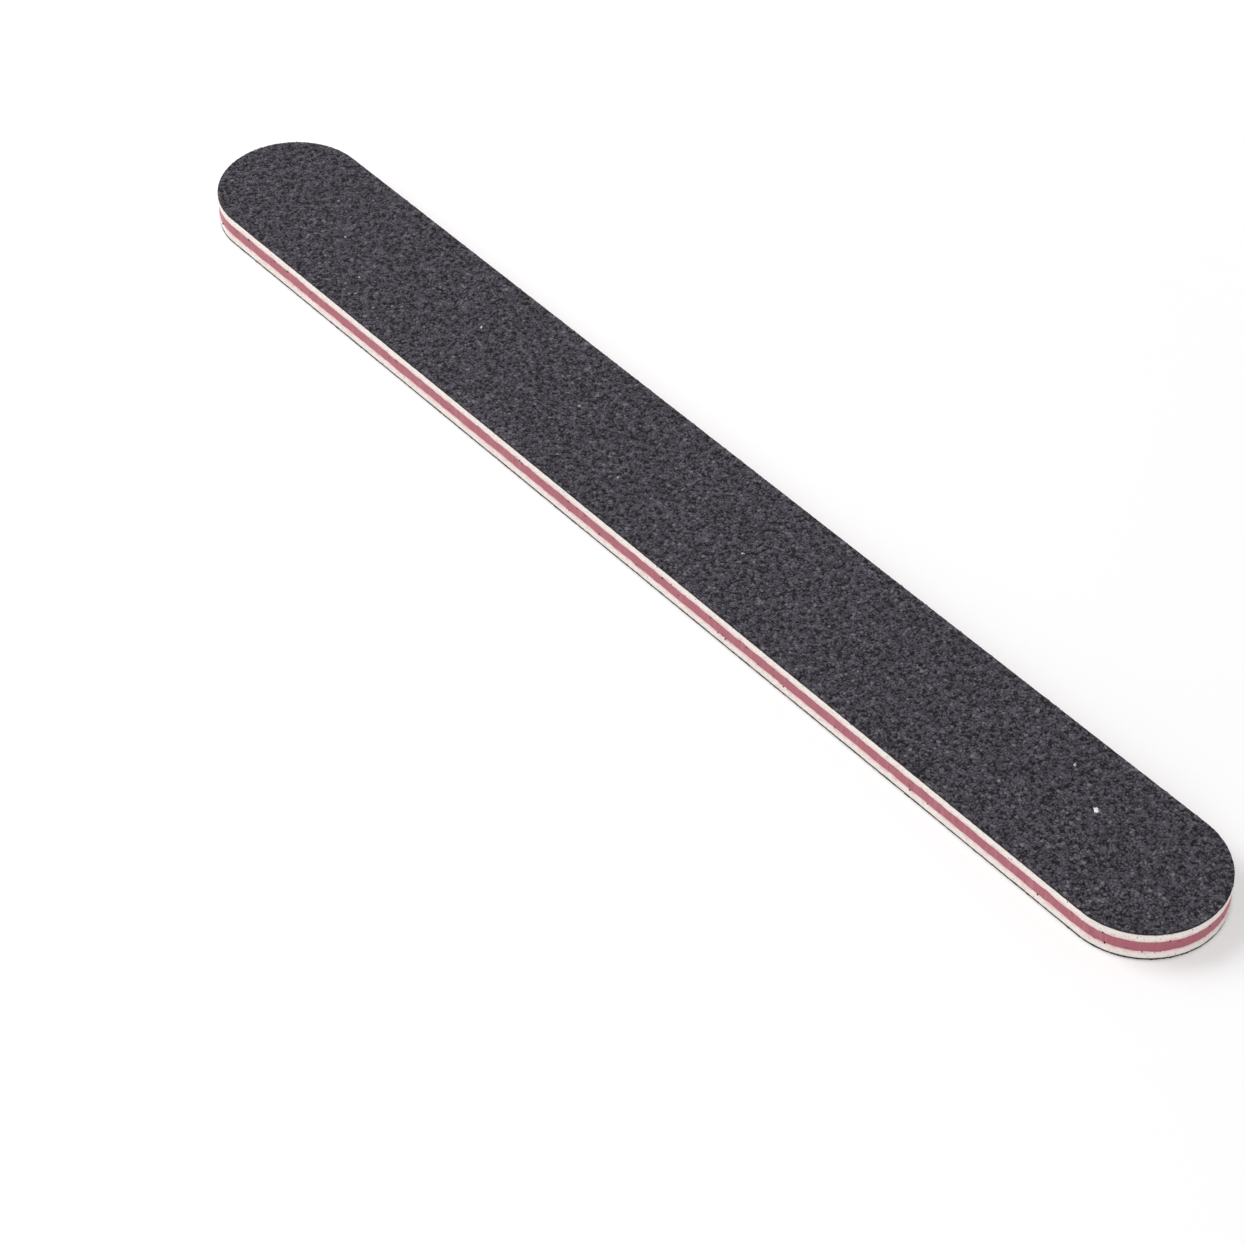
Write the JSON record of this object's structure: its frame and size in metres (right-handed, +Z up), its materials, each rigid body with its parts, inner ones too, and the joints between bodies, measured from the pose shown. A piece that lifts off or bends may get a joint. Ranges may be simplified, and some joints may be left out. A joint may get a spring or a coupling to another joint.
{
  "type": "emery board",
  "caption": "Straight flat nail file with rounded ends: black abrasive paper on both faces, white foam cushions beneath, and a stiff pink plastic core between them.",
  "frame": {"origin": "middle of the lower abrasive face, on the surface that the board lies on", "axes": "+X along the board, +Y across its width, +Z up through the layers to the upper abrasive face"},
  "size_m": [0.178, 0.02, 0.0044],
  "materials": {
    "abrasive_grit": "matte",
    "backing_paper": "matte",
    "adhesive_film": "satin",
    "cushion_foam": "matte",
    "core_plastic": "satin"
  },
  "bodies": {
    "root": {"upper_grit_coat": "abrasive_grit", "upper_backing_paper": "backing_paper", "upper_face_adhesive": "adhesive_film", "upper_foam_pad": "cushion_foam", "upper_core_adhesive": "adhesive_film", "core_strip": "core_plastic", "lower_core_adhesive": "adhesive_film", "lower_foam_pad": "cushion_foam", "lower_face_adhesive": "adhesive_film", "lower_backing_paper": "backing_paper", "lower_grit_coat": "abrasive_grit"}
  },
  "joints": []
}
